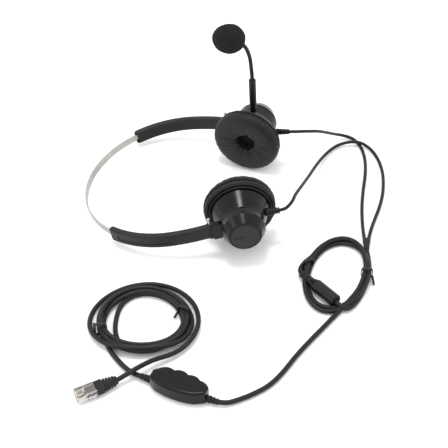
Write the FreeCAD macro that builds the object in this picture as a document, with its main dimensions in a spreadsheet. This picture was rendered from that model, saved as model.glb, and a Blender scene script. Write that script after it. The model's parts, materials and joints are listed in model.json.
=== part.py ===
import FreeCAD, Part
import math
import os

import Sketcher

# Two-ear office headset lying on its side on a table, modelled in millimetres.
# +Z is up, +X points from the headband's top towards the ear cups and +Y from the near cup to the far one.
# The origin is on the table, under the middle of the headset's own box (cords left out).

V = FreeCAD.Vector
AXIS_X = V(1, 0, 0)
AXIS_Y = V(0, 1, 0)
AXIS_Z = V(0, 0, 1)

DIMS = [
    # the pose the headset lies in
    ("band_centre_x", -10.66, "centre of the headband's arc"),
    ("band_centre_y", 4.33, "centre of the headband's arc"),
    ("band_centre_z", 18.05, "centre of the headband's arc, above the table"),
    ("band_tilt", 11.1, "degrees that the band's top leans down to the table"),
    ("band_roll", -0.94, "degrees that levels the two ear cushions on the table"),
    ("far_extension", 11, "degrees that the far arm is pulled out at rest"),
    ("near_extension", 0, "degrees that the near arm is pulled out at rest"),
    ("far_swivel", 2.6, "degrees that the far cup is turned on its pin at rest"),
    ("near_swivel", 5.4, "degrees that the near cup is turned on its pin at rest"),
    # headband and arms
    ("band_radius", 77.5, "middle line of the spring strip"),
    ("strip_thick", 0.8, "spring steel strip"),
    ("strip_width", 6, "spring steel strip"),
    ("strip_end_angle", 92, "where the strip ends, from the +X side"),
    ("arm_thick", 5.6, "plastic arm, across the strip"),
    ("arm_width", 12, "plastic arm, along the strip's width"),
    ("arm_top_angle", 129, "where the arm begins, fully pushed in"),
    ("tail_radius", 150, "flatter lower end of the arm"),
    ("tail_angle", 12.3, "arc of the flatter lower end"),
    ("channel_end_angle", 86, "blind end of the strip's channel"),
    ("mouth_angle", 114.5, "where the channel narrows and holds the stop"),
    ("channel_wide", 3, "channel across the stop"),
    ("channel_mouth", 1.4, "channel across the strip"),
    ("channel_height", 6.8, "channel along the strip's width"),
    ("pin_radius", 1.3, "swivel pin"),
    ("running_gap", 0.05, "radial clearance of turning fits"),
    ("fork_gap", 0.3, "clearance between the arm's fork and the yoke's tongue"),
    ("tongue_height", 6.2, "yoke's tongue"),
    ("tongue_radius", 3.1, "yoke's tongue"),
    ("barrel_radius", 3.3, "round end of the arm about the swivel pin"),
    # ear cups, along the cup's axis from the cushion's widest plane
    ("pin_back", 26, "cup's axis to the swivel pin"),
    ("pin_up", 21.5, "swivel pin along the cup's axis"),
    ("cushion_radius", 29.5, "ear cushion"),
    ("hole_radius", 8.5, "hole in the ear cushion"),
    ("baffle_radius", 26, "plate that the cushion grips"),
    ("flange_radius", 23.3, "wide end of the housing"),
    ("neck_radius", 17.6, "narrow end of the housing"),
    ("hub_radius", 17.4, "hub's ring"),
    ("hub_face_radius", 12.8, "hub's flat face"),
    ("wall", 1.6, "moulded wall"),
    ("relief_up", 12.6, "strain relief along the cup's axis"),
    ("near_relief_radius", 3.5, "near strain relief at its root"),
    ("far_relief_radius", 2.9, "far strain relief at its root"),
    ("near_relief_tip", 31, "end of the near strain relief from the cup's axis"),
    ("far_relief_tip", 35.5, "end of the far strain relief, which also passes the microphone's wires"),
    ("near_relief_lift", -5, "degrees of the near strain relief above the arm's plane"),
    ("far_relief_lift", 5, "degrees of the far strain relief above the arm's plane"),
    # boom microphone, on the far cup
    ("boom_up", 19.2, "boom's ring along the cup's axis"),
    ("boom_lean", 9, "degrees that the boom leans towards the wearer's chin"),
    ("boom_ring_radius", 18.4, "ring that carries the boom"),
    ("core_radius", 14.4, "housing's core inside the ring"),
    ("sleeve_radius", 3.1, "stiff lower sleeve"),
    ("sleeve_end", 52.5, "end of the sleeve from the cup's axis"),
    ("gooseneck_dia", 3.4, "flexible gooseneck"),
    ("foam_long", 28, "windscreen along its long axis"),
    ("foam_wide", 24, "windscreen across"),
    # cords and what is on them
    ("branch_dia", 2.8, "cord from each cup"),
    ("main_dia", 3.7, "cord below the splitter"),
    ("coil_height", 7.4, "two layers of the main cord"),
    ("box_height", 12, "in-line control box"),
    ("box_floor", 0.3, "control box above the table, on its two shells' seam feet"),
    ("box_seam", 6.2, "parting line of the control box"),
    ("plug_width", 9.65, "six-position modular plug"),
    ("plug_height", 6.6, "six-position modular plug"),
    ("plug_length", 14.6, "clear body of the plug"),
    ("plug_floor", 1.9, "plug body above the table, on its latch"),
]

doc = FreeCAD.newDocument("office_headset")
sheet = doc.addObject("Spreadsheet::Sheet", "Dims")
for row, (alias, size, note) in enumerate(DIMS, 1):
    sheet.set(f"A{row}", str(size))
    sheet.setAlias(f"A{row}", alias)
    sheet.set(f"B{row}", note)
doc.recompute()


def worth(expression):
    """Number that an expression on the sheet's cells comes to."""
    return float(sheet.evalExpression(str(expression).replace("Dims.", "")))


def dim(alias):
    return worth(alias)


# ---------------------------------------------------------------- frames

def turn(axis, degrees):
    return FreeCAD.Placement(V(), FreeCAD.Rotation(axis, degrees))


def shift(x, y, z=0.0):
    return FreeCAD.Placement(V(x, y, z), FreeCAD.Rotation())


UPRIGHT = turn(AXIS_X, 0)
ALONG_X = turn(AXIS_Y, 90)
BAND = (
    shift(dim("band_centre_x"), dim("band_centre_y"), dim("band_centre_z"))
    * turn(AXIS_Y, -dim("band_tilt"))
    * turn(AXIS_X, dim("band_roll"))
)


class Side:
    """One side of the headset: the frames of its arm, its swivel pin, its cup and its strain relief.
    The cup's frame has +X away from the band's top and +Z outwards from the wearer's ear."""

    def __init__(self, name, sign):
        self.name = name
        self.sign = sign
        slope = math.radians(dim("tail_angle"))
        reach = dim("tail_radius")
        pin_x = reach * math.sin(slope)
        pin_y = dim("band_radius") - reach + reach * math.cos(slope)
        self.arm = BAND * turn(AXIS_Z, -sign * dim(f"{name}_extension"))
        self.arm_end = shift(pin_x, sign * pin_y) * turn(AXIS_Z, -sign * dim("tail_angle"))
        self.pin = self.arm * self.arm_end
        lay_down = turn(AXIS_Z, sign * dim(f"{name}_swivel")) * turn(AXIS_X, -90 * sign)
        self.cup = self.pin * lay_down * shift(dim("pin_back"), 0, -dim("pin_up"))
        lift = turn(AXIS_Z, -sign * dim(f"{name}_relief_lift"))
        self.relief = self.cup * shift(0, 0, dim("relief_up")) * lift * ALONG_X


FAR = Side("far", 1)
NEAR = Side("near", -1)
SIDES = (FAR, NEAR)
BOOM = FAR.cup * shift(0, 0, dim("boom_up")) * turn(AXIS_Z, dim("boom_lean") - 90)

# ---------------------------------------------------------------- makers

nodes = []


def keep(label, item, place):
    """Name a finished sub-part and put it in its place."""
    item.Label = label
    item.Placement = place
    nodes.append(item)
    return item


def origin_plane(body, role):
    return next(f for f in body.Origin.OriginFeatures if f.Role == role)


def arc_between(start, end, radius):
    """Arc under half a turn; its centre is to the left of the way from start to end if radius > 0."""
    half = (end - start) * 0.5
    left = V(-half.y, half.x, 0).normalize() * math.copysign(1, radius)
    centre = start + half + left * math.sqrt(radius ** 2 - half.Length ** 2)
    return Part.Arc(start, centre - left * abs(radius), end)


def outline(body, role, corners):
    """Closed sketch on a plane of the body, every corner bound to the sheet. A corner is two
    expressions, and a third where an arc leads to the next corner: that arc's signed radius."""
    sketch = body.newObject("Sketcher::SketchObject", body.Name + "_outline")
    sketch.AttachmentSupport = [(origin_plane(body, role), "")]
    sketch.MapMode = "FlatFace"
    spots = [V(worth(corner[0]), worth(corner[1]), 0) for corner in corners]
    first_ends = []
    for i, corner in enumerate(corners):
        end = spots[(i + 1) % len(spots)]
        signed = worth(corner[2]) if len(corner) > 2 else 0
        edge = arc_between(spots[i], end, signed) if signed else Part.LineSegment(spots[i], end)
        sketch.addGeometry(edge, False)
        first_ends.append(2 if signed < 0 else 1)
    for i, corner in enumerate(corners):
        follower = (i + 1) % len(corners)
        sketch.addConstraint(
            Sketcher.Constraint("Coincident", i, 3 - first_ends[i], follower, first_ends[follower])
        )
        bound = [("DistanceX", spots[i].x, corner[0]), ("DistanceY", spots[i].y, corner[1])]
        for kind, size, expression in bound:
            rule = sketch.addConstraint(Sketcher.Constraint(kind, -1, 1, i, first_ends[i], size))
            sketch.setExpression(f"Constraints[{rule}]", str(expression))
        if len(corner) > 2:
            size = abs(worth(corner[2]))
            rule = sketch.addConstraint(Sketcher.Constraint("Radius", i, size))
            sketch.setExpression(f"Constraints[{rule}]", f"abs({corner[2]})")
    return sketch


def turned(name, corners):
    """Body turned about its Z axis from an outline of radius and height."""
    body = doc.addObject("PartDesign::Body", name)
    sketch = outline(body, "XZ_Plane", corners)
    spin = body.newObject("PartDesign::Revolution", name + "_turned")
    spin.Profile = sketch
    spin.ReferenceAxis = (sketch, ["V_Axis"])
    spin.Angle = 360
    return body


def plate(name, corners, height, middle=True):
    """Body padded from an outline in its XY plane, both ways or upwards."""
    body = doc.addObject("PartDesign::Body", name)
    sketch = outline(body, "XY_Plane", corners)
    pad = body.newObject("PartDesign::Pad", name + "_pad")
    pad.Profile = sketch
    pad.SideType = "Symmetric" if middle else "One side"
    pad.setExpression("Length", str(height))
    return body


def rounded(body, radius, wanted):
    """Fillet the edges of a body that the test picks."""
    doc.recompute()
    picked = [f"Edge{i}" for i, edge in enumerate(body.Shape.Edges, 1) if wanted(edge)]
    base = body.Tip
    fillet = body.newObject("PartDesign::Fillet", body.Name + "_fillet")
    fillet.Base = (base, picked)
    fillet.setExpression("Radius", str(radius))
    body.Tip = fillet
    return body


def level_rim(edge):
    """A long edge that keeps one height."""
    return edge.BoundBox.ZLength < 1e-6 and edge.Length > 20


def block(name, length, width, height, place):
    """Box centred on its place in all three directions."""
    item = doc.addObject("Part::Box", name)
    for key, size in (("Length", length), ("Width", width), ("Height", height)):
        item.setExpression(key, str(size))
    item.Placement = place * shift(-worth(length) / 2, -worth(width) / 2, -worth(height) / 2)
    return item


def rod(name, radius, height, place):
    """Cylinder along Z, centred on its place."""
    item = doc.addObject("Part::Cylinder", name)
    item.setExpression("Radius", str(radius))
    item.setExpression("Height", str(height))
    item.Placement = place * shift(0, 0, -worth(height) / 2)
    return item


def joined(name, items):
    item = doc.addObject("Part::MultiFuse", name)
    item.Shapes = items
    return item


def grouped(name, items):
    """Separate solids that share a node."""
    item = doc.addObject("Part::Compound", name)
    item.Links = items
    return item


def without(name, base, tools):
    item = doc.addObject("Part::Cut", name)
    item.Base = base
    item.Tool = tools[0] if len(tools) == 1 else joined(name + "_tools", tools)
    return item


def polar(radius, angle, sign):
    """Corner at an angle on a circle about the origin, mirrored where sign is -1."""
    return (f"({radius})*cos({angle})", f"{sign}*({radius})*sin({angle})")


def sector(name, sign, inner, outer, low, high, height):
    """Curved bar about the origin, between two radii and two angles."""
    corners = [
        polar(inner, high, sign) + (f"{-sign}*({inner})",),
        polar(inner, low, sign),
        polar(outer, low, sign) + (f"{sign}*({outer})",),
        polar(outer, high, sign),
    ]
    return plate(name, corners, height)


def ribbed(name, base, start, end, wide, narrow, ribs):
    """Strain relief: a plain root from base to start, then tapering ribs up to end, on a solid core."""
    pitch = (end - start) / ribs
    corners = [(0, base), (wide, base), (wide, start)]
    for i in range(ribs):
        radius = wide + (narrow - wide) * (i + 1) / ribs
        groove = radius - 0.22 * wide
        foot = start + i * pitch
        corners += [
            (groove, foot + 0.02),
            (groove, foot + 0.38 * pitch),
            (radius, foot + 0.4 * pitch),
            (radius, foot + pitch),
        ]
    return turned(name, corners + [(0, end)])


# ---------------------------------------------------------------- headband

RING = "Dims.band_radius"
HALF_ARM = "Dims.arm_thick/2"


def make_headband():
    half = "Dims.strip_thick/2"
    low = "Dims.strip_end_angle"
    outer = f"{RING}+{half}"
    inner = f"{RING}-{half}"
    strip = plate("strip", [
        polar(outer, low, 1) + (outer,),
        polar(outer, 180, 1) + (outer,),
        polar(outer, low, -1),
        polar(inner, low, -1) + (f"-({inner})",),
        polar(inner, 180, 1) + (f"-({inner})",),
        polar(inner, low, 1),
    ], "Dims.strip_width")
    keep("headband_strip", strip, BAND)
    stops = [
        sector(f"stop_{side.name}", side.sign, f"{RING}-1.2", f"{RING}+1.2",
               f"{low}-1.4", low, "Dims.strip_width-0.2")
        for side in SIDES
    ]
    keep("strip_stops", grouped("stops", stops), BAND)


def make_arm(side):
    name = side.name
    sign = side.sign
    top = "Dims.arm_top_angle"
    mouth = "Dims.mouth_angle"
    blind = "Dims.channel_end_angle"
    tail = "Dims.tail_radius"
    fall = "(Dims.tail_angle+0.55)"
    crown = f"{RING}+{HALF_ARM}"
    belly = f"{RING}-{HALF_ARM}"
    tail_out = f"({tail}+{HALF_ARM})"
    tail_in = f"({tail}-{HALF_ARM})"
    nose = f"({top}+Dims.arm_thick/2/Dims.band_radius*180/3.14159)"
    quarter = f"{-sign}*{HALF_ARM}"
    bar = plate(f"{name}_bar", [
        polar(RING, nose, sign) + (quarter,),
        polar(crown, top, sign) + (f"{-sign}*({crown})",),
        (0, f"{sign}*({crown})", f"{-sign}*{tail_out}"),
        (f"{tail_out}*sin({fall})", f"{sign}*({RING}-{tail}+{tail_out}*cos({fall}))"),
        (f"{tail_in}*sin({fall})", f"{sign}*({RING}-{tail}+{tail_in}*cos({fall}))",
         f"{sign}*{tail_in}"),
        (0, f"{sign}*({belly})", f"{sign}*({belly})"),
        polar(belly, top, sign) + (quarter,),
    ], "Dims.arm_width")
    rounded(bar, 1.5, level_rim)
    wide = f"{RING}+Dims.channel_wide/2"
    slim = f"{RING}+Dims.channel_mouth/2"
    open_side = f"{RING}-{HALF_ARM}-1"
    past_top = f"{top}+3"
    channel = plate(f"{name}_channel", [
        polar(open_side, past_top, sign) + (f"{-sign}*({open_side})",),
        polar(open_side, blind, sign),
        polar(wide, blind, sign) + (f"{sign}*({wide})",),
        polar(wide, mouth, sign),
        polar(slim, mouth, sign) + (f"{sign}*({slim})",),
        polar(slim, past_top, sign),
    ], "Dims.channel_height")
    pocket = sector(f"{name}_pocket", sign, f"{slim}-0.2", f"{RING}+1.8", 117.5, 126.5, 4.4)
    barrel = rod(f"{name}_barrel", "Dims.barrel_radius", "Dims.arm_width", side.arm_end)
    slot_height = "Dims.tongue_height+2*Dims.fork_gap"
    fork = block(f"{name}_fork", 5, 9, slot_height, side.arm_end * shift(2.5, 0))
    fork_round = rod(f"{name}_fork_round", "Dims.tongue_radius+0.25", slot_height, side.arm_end)
    hole = rod(f"{name}_pin_hole", "Dims.pin_radius+0.01", 20, side.arm_end)
    stripe = sector(f"{name}_stripe", sign, f"{crown}-0.4", f"{crown}+1", 90, f"{top}-5", 5)
    shell = without(f"{name}_shell", joined(f"{name}_blank", [bar, barrel]),
                    [channel, pocket, fork, fork_round, hole, stripe])
    keep(f"{name}_arm_shell", shell, side.arm)

    floor_slim = f"{RING}-Dims.channel_mouth/2-0.05"
    floor_wide = f"{RING}-Dims.channel_wide/2-0.05"
    liner_top = f"{top}+0.4"
    liner_end = f"{blind}+0.3"
    liner = plate(f"{name}_liner", [
        polar(belly, liner_top, sign) + (f"{-sign}*({belly})",),
        polar(belly, liner_end, sign),
        polar(floor_wide, liner_end, sign) + (f"{sign}*({floor_wide})",),
        polar(floor_wide, mouth, sign),
        polar(floor_slim, mouth, sign) + (f"{sign}*({floor_slim})",),
        polar(floor_slim, liner_top, sign),
    ], "Dims.channel_height-0.2")
    keep(f"{name}_arm_liner", liner, side.arm)

    leaf_in = f"{RING}+1.2"
    leaf_out = f"{RING}+1.55"
    leaf = plate(f"{name}_leaf", [
        polar(leaf_in, 122, sign) + (f"{-sign}*({leaf_in})",),
        polar(leaf_in, 118, sign),
        polar(leaf_out, 118, sign) + (f"{sign}*({leaf_out})",),
        polar(leaf_out, 126, sign),
        polar(leaf_in, 126, sign) + (f"{-sign}*({leaf_in})",),
        polar(leaf_in, 123, sign),
        polar(f"{RING}+0.5", 122.5, sign),
    ], 4)
    keep(f"{name}_detent_spring", leaf, side.arm)
    pin = rod(f"{name}_pin", "Dims.pin_radius", "Dims.arm_width", UPRIGHT)
    keep(f"{name}_swivel_pin", pin, side.pin)


# ---------------------------------------------------------------- ear cups

def make_yoke(side):
    """Disc under the hub, with a neck that reaches back to the swivel pin."""
    name = side.name
    back = "Dims.pin_back"
    disc = turned(f"{name}_disc", [
        (1.6, 23.3), ("Dims.hub_radius", 23.3), ("Dims.hub_radius", 27), (1.6, 27),
    ])
    bridge = block(f"{name}_bridge", 9, 11, 3.7, shift(-17.8, 0, 25.15))
    sideways = shift(-dim("pin_back"), 0, dim("pin_up")) * turn(AXIS_X, 90)
    neck_block = block(f"{name}_neck_block", 6.4, 11, 8.8, shift(-21.6, 0, 22.6))
    neck_hollow = rod(f"{name}_neck_hollow", "Dims.barrel_radius+0.2", 20, sideways)
    neck = without(f"{name}_neck", neck_block, [neck_hollow])
    tongue = block(f"{name}_tongue", 5, "Dims.tongue_height", "2*Dims.tongue_radius",
                   shift(2.5 - dim("pin_back"), 0, dim("pin_up")))
    nose = rod(f"{name}_nose", "Dims.tongue_radius", "Dims.tongue_height", sideways)
    solid = joined(f"{name}_yoke_solid", [disc, bridge, neck, tongue, nose])
    bore = rod(f"{name}_bore", "Dims.pin_radius+Dims.running_gap", 20, sideways)
    room = turned(f"{name}_room", [
        (0, 8), (23.8, 8), (20.9, 15.6), (18.8, 20), (18.8, 23.1), (0, 23.1),
    ])
    keep(f"{name}_yoke", without(f"{name}_yoke_cut", solid, [bore, room]), side.cup)


def make_housing(side):
    name = side.name
    if side is FAR:
        top = [
            (20.6, 15.6), ("Dims.core_radius", 15.6), ("Dims.core_radius", 23.2), (1.6, 23.2),
            (1.6, 21.6), ("Dims.core_radius-Dims.wall", 21.6), ("Dims.core_radius-Dims.wall", 14),
            (19.6, 14),
        ]
    else:
        top = [
            ("Dims.neck_radius", 22), ("Dims.neck_radius", 23.2), (1.6, 23.2), (1.6, 21.6),
            ("Dims.neck_radius-Dims.wall", 21.6),
        ]
    lip = "Dims.flange_radius"
    inside = "Dims.flange_radius-Dims.wall-0.2"
    shell = turned(f"{name}_housing_shell",
                   [(lip, 6.6), (lip, 8.4)] + top + [(inside, 8.6), (inside, 6.6)])
    hole = rod(f"{name}_relief_hole", f"Dims.{name}_relief_radius+0.05", 9,
               side.cup.inverse() * side.relief * shift(0, 0, 21.5))
    keep(f"{name}_housing", without(f"{name}_housing_cut", shell, [hole]), side.cup)


def make_cup(side):
    name = side.name
    make_yoke(side)
    make_housing(side)
    rim = "Dims.hub_radius"
    face = "Dims.hub_face_radius"
    hub = turned(f"{name}_hub_shell", [
        (1.6, 35.9), (9.8, 35.9), (9.8, 37.1), (f"{face}-1.4", 37.1), (f"{face}-1.4", 38),
        (face, 38), (f"{face}+0.5", 37.7), (rim, 30.2), (rim, 27.1), (f"{rim}-Dims.wall", 27.1),
        (f"{rim}-Dims.wall", 29.4), (11, 34.3), (1.6, 34.3),
    ])
    keep(f"{name}_hub", hub, side.cup)
    cap = turned(f"{name}_cap_disc", [
        (0, 37.15), (f"{face}-1.5", 37.15), (f"{face}-1.5", 38.2), (f"{face}-1.8", 38.4), (0, 38.4),
    ])
    slot = block(f"{name}_cap_slot", 7, 0.9, 1, shift(-5, 0, 38.5))
    keep(f"{name}_hub_cap", without(f"{name}_cap", cap, [slot]), side.cup)
    screw = turned(f"{name}_screw", [
        (0, 19.4), (1.5, 19.4), (1.5, 35.95), (2.8, 35.95), (2.8, 36.6), (2.2, 37), (0, 37),
    ])
    keep(f"{name}_hub_screw", screw, side.cup)

    disc = turned(f"{name}_baffle_disc", [
        (0, 3.8), ("Dims.baffle_radius", 3.8), ("Dims.baffle_radius", 6.5), (0, 6.5),
    ])
    ports = [
        rod(f"{name}_port_{ring}_{i}", 0.8, 6,
            turn(AXIS_Z, 360 * i / count) * shift(ring, 0, 5))
        for ring, count in ((0, 1), (2.8, 6), (5.6, 12))
        for i in range(count)
    ]
    keep(f"{name}_baffle", without(f"{name}_baffle_cut", disc, ports), side.cup)
    driver = turned(f"{name}_speaker", [
        (0, 6.55), (15, 6.55), (15, 8.6), (13.5, 9), (8.5, 12.4), (8.5, 15), (0, 15),
    ])
    keep(f"{name}_driver", driver, side.cup)
    scrim = turned(f"{name}_scrim_disc", [(0, 3.45), (12, 3.45), (12, 3.75), (0, 3.75)])
    keep(f"{name}_scrim", scrim, side.cup)
    pad = turned(f"{name}_pad", [
        ("Dims.hole_radius", 3.4), ("Dims.hole_radius", -2.5, 2.6), ("Dims.hole_radius+2.6", -5.1),
        (21.5, -5.6, 8), ("Dims.cushion_radius", 1, 7.6), (24.5, 8.2),
        ("Dims.flange_radius+0.3", 8.2), ("Dims.flange_radius+0.3", 6.9),
        ("Dims.baffle_radius+0.3", 6.9), ("Dims.baffle_radius+0.3", 3.4),
    ])
    keep(f"{name}_cushion", pad, side.cup)
    root = dim(f"{name}_relief_radius")
    relief = ribbed(f"{name}_relief", 19.4, 23, dim(f"{name}_relief_tip"), root, 0.78 * root, 4)
    keep(f"{name}_strain_relief", relief, side.relief)


# ---------------------------------------------------------------- cords

def rounded_path(route):
    """Straight runs joined by tangent arcs, each arc as large as its two runs allow."""
    spots = [V(*spot) for spot in route]
    edges = []
    radii = []
    leave = spots[0]
    for before, corner, after in zip(spots, spots[1:], spots[2:]):
        back = before - corner
        ahead = after - corner
        turn_angle = math.pi - back.getAngle(ahead)
        reach = 0.45 * min(back.Length, ahead.Length)
        radii.append(reach / math.tan(turn_angle / 2))
        back.normalize()
        ahead.normalize()
        enter = corner + back * reach
        exit_point = corner + ahead * reach
        middle = (back + ahead).normalize()
        centre = corner + middle * (radii[-1] / math.cos(turn_angle / 2))
        edges.append(Part.LineSegment(leave, enter).toShape())
        edges.append(Part.Arc(enter, centre - middle * radii[-1], exit_point).toShape())
        leave = exit_point
    edges.append(Part.LineSegment(leave, spots[-1]).toShape())
    return Part.Wire(edges), radii


def tube(label, route, diameter, place, ball=False):
    """Round cord along a route; its volume is compared with its section times its length."""
    path, radii = rounded_path(route)
    start = V(*route[0])
    ring = Part.Wire(Part.makeCircle(diameter / 2, start, V(*route[1]) - start))
    solid = path.makePipeShell([ring], True, False)
    length = path.Length
    section = math.pi * diameter ** 2 / 4
    print(f"{label}: {length:.0f} mm, radii {[round(radius) for radius in radii]} mm,",
          f"volume {solid.Volume / section / length:.4f} of section x length")
    if ball:
        solid = solid.fuse(Part.makeSphere(0.62 * diameter, start))
    item = doc.addObject("Part::Feature", label + "_tube")
    item.Shape = solid
    return keep(label, item, place)


# ---------------------------------------------------------------- boom microphone

NECK_LOWER = [(51.5, 0, 0), (61, -0.2, -0.4), (71.6, -0.3, -1.6)]
NECK_JOINT = (74, -0.4, -2)
NECK_UPPER = [(74, -0.4, -2), (82, -0.8, -4.2), (90, -2, -7.4), (97, -5.6, -11), (100.5, -10.5, -13.6)]
MIC_CENTRE = (101, -13.4, -15)


def make_boom():
    ring = "Dims.boom_ring_radius"
    bore = "Dims.core_radius+Dims.running_gap"
    collar = turned("boom_collar", [(bore, -3.3), (ring, -3.3), (ring, 3.3), (bore, 3.3)])
    socket = rod("boom_socket", 2.25, 8, ALONG_X * shift(0, 0, 17))
    keep("boom_ring", without("boom_ring_cut", collar, [socket]), BOOM)
    thick = "Dims.sleeve_radius"
    end = "Dims.sleeve_end"
    sleeve = turned("sleeve_tube", [
        (0, 14.8), (2.2, 14.8), (2.2, 18.2), (thick, 22), (thick, f"{end}-1"), (f"{thick}-1", end),
        (0, end),
    ])
    neck_room = rod("sleeve_bore", "Dims.gooseneck_dia/2+0.02", 4, shift(0, 0, dim("sleeve_end")))
    keep("boom_sleeve", without("sleeve_cut", sleeve, [neck_room]), BOOM * ALONG_X)
    tube("gooseneck_lower", NECK_LOWER, dim("gooseneck_dia"), BOOM)
    tube("gooseneck_upper", NECK_UPPER, dim("gooseneck_dia"), BOOM, ball=True)
    mic = BOOM * shift(*MIC_CENTRE) * turn(AXIS_Z, -8)
    lying = turn(AXIS_X, 90)
    shell = turned("mic_shell", [
        (0, -4), (3, -4), (4.6, -2.4), (4.6, 7), (3.6, 7), (3.6, 1), (0, 1),
    ])
    keep("mic_housing", shell, mic * lying)
    capsule = turned("mic_core", [(0, 1.05), (3.55, 1.05), (3.55, 5.4), (3, 5.8), (0, 5.8)])
    keep("mic_capsule", capsule, mic * lying)
    make_windscreen(mic)


def make_windscreen(mic):
    """Foam egg with a socket that the mic housing and the gooseneck's end push into."""
    egg = doc.addObject("Part::Ellipsoid", "egg")
    egg.setExpression("Radius1", "Dims.foam_wide/2")
    egg.setExpression("Radius2", "Dims.foam_wide/2")
    egg.setExpression("Radius3", "Dims.foam_long/2")
    egg.Placement = turn(AXIS_X, 90)
    room = rod("foam_room", 4.8, 13, turn(AXIS_X, 90) * shift(0, 0, 2))
    way_in = rod("foam_way_in", 3.2, 16, shift(-1.5, 4, 1.6) * turn(AXIS_Z, -40) * ALONG_X
                 * shift(0, 0, -6))
    keep("windscreen", without("foam", egg, [room, way_in]), mic)


# ---------------------------------------------------------------- cords and their fittings

BRANCH_Z = 1.5
MAIN_Z = 2
NEAR_ROUTE = [
    (84.4, -48.3, 34.6), (87.2, -42, 34.4), (88.8, -35, 32.6), (91.5, -27, 30), (95.5, -15.5, 26),
    (100, -2, 21), (105, 13, 15.5), (111, 31, 10), (117.5, 47, 5.5), (124.5, 60, 3), (132, 68.5, 2.5),
    (140, 72, 3.5), (147, 72, 4.8), (154, 71.5, 4.4), (160.5, 68.5, 2.2), (165.5, 60.5, BRANCH_Z),
    (169, 48, BRANCH_Z), (170.5, 33, BRANCH_Z), (169.5, 17, BRANCH_Z), (167, 1, BRANCH_Z),
    (162.5, -15, BRANCH_Z), (157, -30, BRANCH_Z), (152.3, -43.5, BRANCH_Z), (149.4, -54.5, MAIN_Z),
]
FAR_ROUTE = [
    (98.5, 39.8, 41), (105.5, 42.5, 39), (112, 48, 35), (118.5, 56, 28), (124.5, 65, 20),
    (129.5, 73.5, 12.5), (134, 79.3, 7.4), (138.8, 82.6, 4), (144.6, 82.9, 2), (149.8, 79.4, BRANCH_Z),
    (154, 71, BRANCH_Z), (156.2, 59.5, BRANCH_Z), (156.5, 45.5, BRANCH_Z), (155, 30, BRANCH_Z),
    (152, 14, BRANCH_Z), (149.3, -2.5, BRANCH_Z), (147.3, -19, BRANCH_Z), (146.4, -34, BRANCH_Z),
    (146, -46, BRANCH_Z), (146.2, -54.5, MAIN_Z),
]
MIDDLE_ROUTE = [
    (119.5, -135.5, MAIN_Z), (107, -151.5, MAIN_Z), (94.5, -167, MAIN_Z), (83, -182.5, MAIN_Z),
    (73.5, -197.5, MAIN_Z), (63.5, -209.5, MAIN_Z), (50.5, -218, MAIN_Z), (39, -223.4, 2.2),
    (32, -226.2, 2.9), (26.8, -225.5, 3.4),
]
BOX_LEAD_ROUTE = [
    (-27.7, -202.4, 3.4), (-32, -200.4, 3), (-37.5, -196.3, 2.4), (-43, -190.5, MAIN_Z),
    (-48, -184, MAIN_Z),
]
PLUG_LEAD_ROUTE = [
    (-12.5, -182.5, 4.4), (-19.5, -188.1, 6.2), (-27, -194.1, 7.6), (-33.5, -198.9, 7.6),
    (-40, -203.3, 6.2), (-46.2, -207.5, 5.2),
]


def relief_tip(side, beyond=0):
    """Where the cord leaves a cup's strain relief, or a distance straight on from there."""
    return tuple(side.relief.multVec(V(0, 0, dim(f"{side.name}_relief_tip") + beyond)))


def coil(label, centre, across, along, inner_centre, inner_across, inner_along, lean):
    """Flat oval ring that holds all the turns of a coil."""
    drums = []
    for middle, long, short in ((centre, along, across), (inner_centre, inner_along, inner_across)):
        oval = Part.Face(Part.Wire(Part.Ellipse(V(), long, short).toShape()))
        drum = oval.extrude(V(0, 0, dim("coil_height")))
        drum.Placement = shift(*middle) * turn(AXIS_Z, 90 - lean)
        drums.append(drum)
    solid = drums[0].cut(drums[1])
    item = doc.addObject("Part::Feature", label + "_ring")
    item.Shape = solid
    keep(label, item, shift(0, 0, 0.1))


def tie(name, place, width, height):
    """Twist tie bent round a bundle: a flat strap loop and its twisted tail."""
    strap = 2.4
    middle = place * shift(0, 0, height / 2 + 0.05)
    outside = block(f"{name}_outside", width + 1.2, strap, height + 0.1, middle)
    inside = block(f"{name}_inside", width, strap + 1, height, place * shift(0, 0, height / 2 - 0.5))
    loop = without(f"{name}_loop", outside, [inside])
    tail = rod(f"{name}_tail", 0.8, 11, place * shift(-width / 2 - 4.5, -3.2, 1.2) * turn(AXIS_Z, 35)
               * ALONG_X)
    return [loop, tail]


def make_coils():
    coil("coil_1", (120, -96.2), 27.4, 44.7, (121, -95.5), 20.4, 35.4, 17.5)
    coil("coil_2", (-26.2, -147.3), 38.9, 43.8, (-30.2, -147.2), 28.5, 28.7, 0)
    ties = []
    for name, x, y, angle, width in (
        ("tie_a", 98, -86.5, 20, 8), ("tie_b", 143.5, -96.5, -8, 9.5),
        ("tie_c", -61.5, -158, 8, 8), ("tie_d", 0.5, -138.5, -20, 9.5),
    ):
        ties += tie(name, shift(x, y) * turn(AXIS_Z, angle), width, dim("coil_height") + 0.8)
    keep("twist_ties", grouped("ties", ties), UPRIGHT)


def make_splitter():
    """Moulded Y where the two cup cords join the main cord."""
    body = block("splitter_block", 12.5, 5.6, 3.6, UPRIGHT)
    keep("y_splitter", body, shift(147.3, -60.9, MAIN_Z) * turn(AXIS_Z, 84) * shift(-6.25, -2.8, -1.8))


QD = shift(117.2, -129.3, 5.6) * turn(AXIS_Z, 129.2) * ALONG_X


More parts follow.
